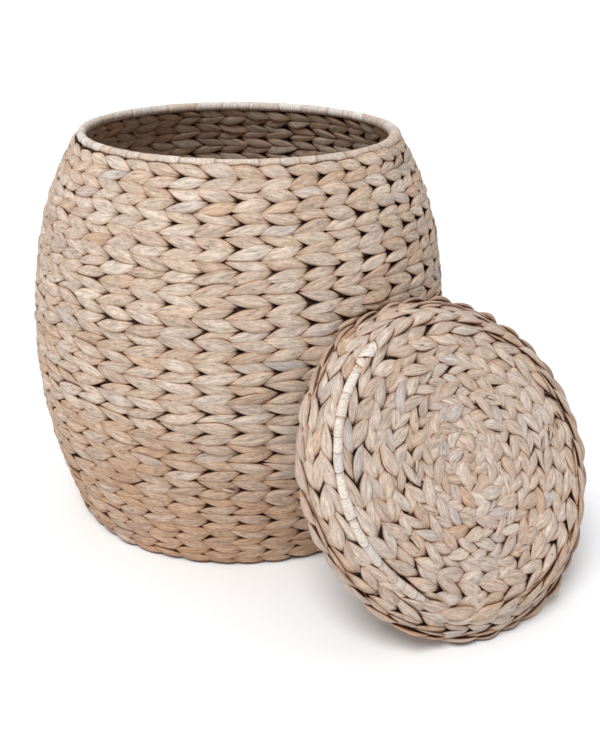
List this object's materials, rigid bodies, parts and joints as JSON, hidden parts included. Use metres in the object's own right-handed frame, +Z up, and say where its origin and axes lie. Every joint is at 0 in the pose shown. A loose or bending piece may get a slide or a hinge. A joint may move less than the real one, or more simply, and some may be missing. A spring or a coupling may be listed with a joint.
{
  "type": "woven laundry basket",
  "caption": "Round, bulging laundry basket woven from plant-fibre strands, with a bound rim and a loose woven lid leaning on its front.",
  "frame": {"origin": "middle of the basket's underside, on the floor", "axes": "+Z up through the middle of the basket; -Y towards the front, where the lid leans; +X to the right as seen from the front"},
  "size_m": [0.533, 0.749, 0.4995],
  "materials": {
    "twined_fibre": "dry, whitewashed natural plant fibre, pinkish tan",
    "bound_strip": "flat natural plant-fibre strip, paler than the twined strands",
    "frame_wire": "dull brown coated wire"
  },
  "bodies": {
    "basket": {"base_centre": "twined_fibre", "base_course_01": "twined_fibre", "base_course_02": "twined_fibre", "base_course_03": "twined_fibre", "base_course_04": "twined_fibre", "base_course_05": "twined_fibre", "base_course_06": "twined_fibre", "base_course_07": "twined_fibre", "base_hoop": "frame_wire", "base_spokes": "frame_wire", "rim_binding": "bound_strip", "rim_hoop": "frame_wire", "wall_course_01": "twined_fibre", "wall_course_02": "twined_fibre", "wall_course_03": "twined_fibre", "wall_course_04": "twined_fibre", "wall_course_05": "twined_fibre", "wall_course_06": "twined_fibre", "wall_course_07": "twined_fibre", "wall_course_08": "twined_fibre", "wall_course_09": "twined_fibre", "wall_course_10": "twined_fibre", "wall_course_11": "twined_fibre", "wall_course_12": "twined_fibre", "wall_course_13": "twined_fibre", "wall_course_14": "twined_fibre", "wall_course_15": "twined_fibre", "wall_course_16": "twined_fibre", "wall_course_17": "twined_fibre", "wall_course_18": "twined_fibre", "wall_course_19": "twined_fibre", "wall_course_20": "twined_fibre", "wall_stakes": "frame_wire"},
    "lid": {"lid_centre": "twined_fibre", "lid_corner_binding": "bound_strip", "lid_corner_hoop": "frame_wire", "lid_course_01": "twined_fibre", "lid_course_02": "twined_fibre", "lid_course_03": "twined_fibre", "lid_course_04": "twined_fibre", "lid_course_05": "twined_fibre", "lid_course_06": "twined_fibre", "lid_edge_binding": "bound_strip", "lid_edge_hoop": "frame_wire", "lid_skirt_row_01": "twined_fibre", "lid_skirt_row_02": "twined_fibre", "lid_skirt_row_03": "twined_fibre", "lid_skirt_stakes": "frame_wire", "lid_spokes": "frame_wire"}
  },
  "joints": [
    {"name": "lid_lift", "type": "slide", "parent": "basket", "child": "lid", "axis": [0, 0, 1], "range_m": [0, 0.52]}
  ]
}
